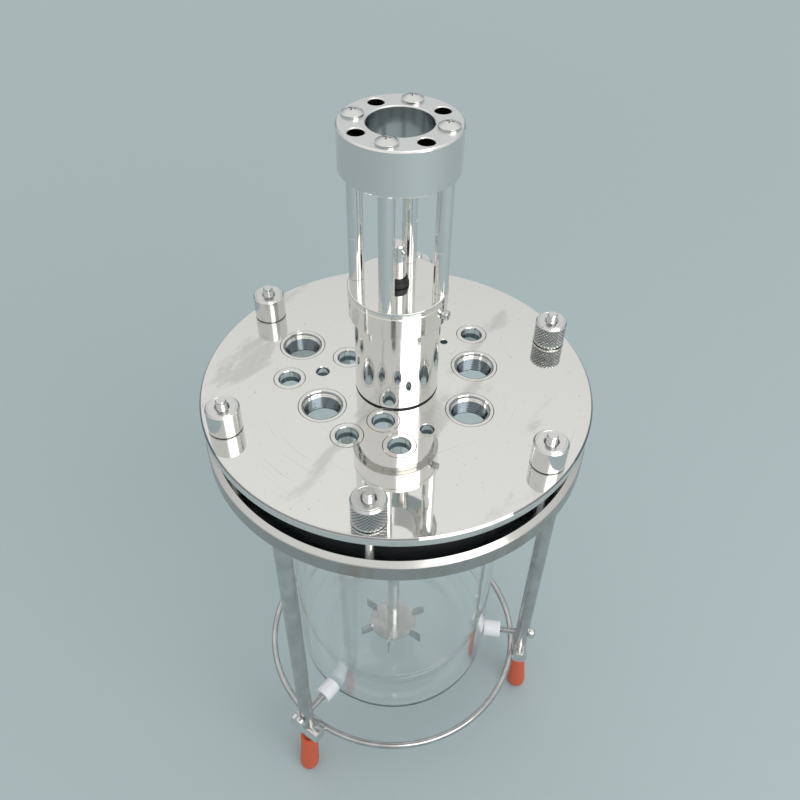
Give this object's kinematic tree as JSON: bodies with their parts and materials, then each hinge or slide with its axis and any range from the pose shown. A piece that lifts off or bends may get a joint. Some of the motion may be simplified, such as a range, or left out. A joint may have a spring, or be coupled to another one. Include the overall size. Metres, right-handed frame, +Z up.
{
  "type": "bench bioreactor",
  "caption": "Stirred glass culture vessel under a ported stainless lid, on rod legs, with a bearing column and a motor frame above.",
  "frame": {"origin": "on the bench, on the axis of the agitator shaft, under the vessel", "axes": "+Z up along the shaft; +X through a closure stud; legs at 30, 150 and 270 degrees from +X"},
  "size_m": [0.22, 0.22, 0.4817],
  "materials": {
    "polished_steel": "mirror-polished stainless steel",
    "turned_steel": "turned stainless steel",
    "black_rubber": "matt black rubber",
    "orange_silicone": "soft satin silicone",
    "white_polymer": "satin white fluoropolymer",
    "clear_glass": "clear borosilicate glass"
  },
  "bodies": {
    "stand_and_head": {"lid_plate": "polished_steel", "clamp_ring": "polished_steel", "bearing_housing": "polished_steel", "bearing_cover": "polished_steel", "head_ring": "polished_steel", "flange_gasket": "black_rubber", "column_o_ring": "black_rubber", "lip_seal": "black_rubber", "glass_vessel": "clear_glass", "stabiliser_ring": "turned_steel", "column_lock_nut": "turned_steel", "lower_bearing_outer_race": "turned_steel", "upper_bearing_outer_race": "turned_steel", "collar_side_screw": "turned_steel", "closure_stud_1": "turned_steel", "closure_stud_2": "turned_steel", "closure_stud_3": "turned_steel", "closure_stud_4": "turned_steel", "closure_stud_5": "turned_steel", "closure_stud_6": "turned_steel", "leg_1": "turned_steel", "cross_block_1": "turned_steel", "foot_1": "orange_silicone", "leg_2": "turned_steel", "cross_block_2": "turned_steel", "foot_2": "orange_silicone", "leg_3": "turned_steel", "cross_block_3": "turned_steel", "foot_3": "orange_silicone", "standoff_rod_1": "turned_steel", "head_screw_1": "turned_steel", "standoff_rod_2": "turned_steel", "head_screw_2": "turned_steel", "standoff_rod_3": "turned_steel", "head_screw_3": "turned_steel", "standoff_rod_4": "turned_steel", "head_screw_4": "turned_steel"},
    "agitator": {"agitator_shaft": "turned_steel", "drive_pin": "turned_steel", "disc_turbine": "turned_steel", "hub_set_screw": "turned_steel", "v_ring_seal": "black_rubber", "lower_bearing_inner_race": "turned_steel", "upper_bearing_inner_race": "turned_steel"},
    "nut_1": {"thumb_nut_1": "turned_steel"},
    "nut_2": {"thumb_nut_2": "turned_steel"},
    "nut_3": {"thumb_nut_3": "turned_steel"},
    "nut_4": {"thumb_nut_4": "turned_steel"},
    "nut_5": {"thumb_nut_5": "turned_steel"},
    "nut_6": {"thumb_nut_6": "turned_steel"},
    "adjuster_1": {"adjuster_screw_1": "turned_steel", "adjuster_tip_1": "white_polymer"},
    "adjuster_2": {"adjuster_screw_2": "turned_steel", "adjuster_tip_2": "white_polymer"},
    "adjuster_3": {"adjuster_screw_3": "turned_steel", "adjuster_tip_3": "white_polymer"}
  },
  "joints": [
    {"name": "agitator_spin", "type": "hinge", "parent": "stand_and_head", "child": "agitator", "pos_m": [0, 0, 0.324], "axis": [0, 0, 1], "continuous": true},
    {"name": "thumb_nut_1_turn", "type": "hinge", "parent": "stand_and_head", "child": "nut_1", "pos_m": [0.0983, 0, 0.324], "axis": [0, 0, 1], "continuous": true},
    {"name": "thumb_nut_2_turn", "type": "hinge", "parent": "stand_and_head", "child": "nut_2", "pos_m": [0.04915, 0.08513, 0.324], "axis": [0, 0, 1], "continuous": true},
    {"name": "thumb_nut_3_turn", "type": "hinge", "parent": "stand_and_head", "child": "nut_3", "pos_m": [-0.04915, 0.08513, 0.324], "axis": [0, 0, 1], "continuous": true},
    {"name": "thumb_nut_4_turn", "type": "hinge", "parent": "stand_and_head", "child": "nut_4", "pos_m": [-0.0983, 0, 0.324], "axis": [0, 0, 1], "continuous": true},
    {"name": "thumb_nut_5_turn", "type": "hinge", "parent": "stand_and_head", "child": "nut_5", "pos_m": [-0.04915, -0.08513, 0.324], "axis": [0, 0, 1], "continuous": true},
    {"name": "thumb_nut_6_turn", "type": "hinge", "parent": "stand_and_head", "child": "nut_6", "pos_m": [0.04915, -0.08513, 0.324], "axis": [0, 0, 1], "continuous": true},
    {"name": "adjuster_1_slide", "type": "slide", "parent": "stand_and_head", "child": "adjuster_1", "axis": [0, -1, 0], "range_m": [0, 0.01]},
    {"name": "adjuster_2_slide", "type": "slide", "parent": "stand_and_head", "child": "adjuster_2", "axis": [0.866, 0.5, 0], "range_m": [0, 0.01]},
    {"name": "adjuster_3_slide", "type": "slide", "parent": "stand_and_head", "child": "adjuster_3", "axis": [-0.866, 0.5, 0], "range_m": [0, 0.01]}
  ]
}
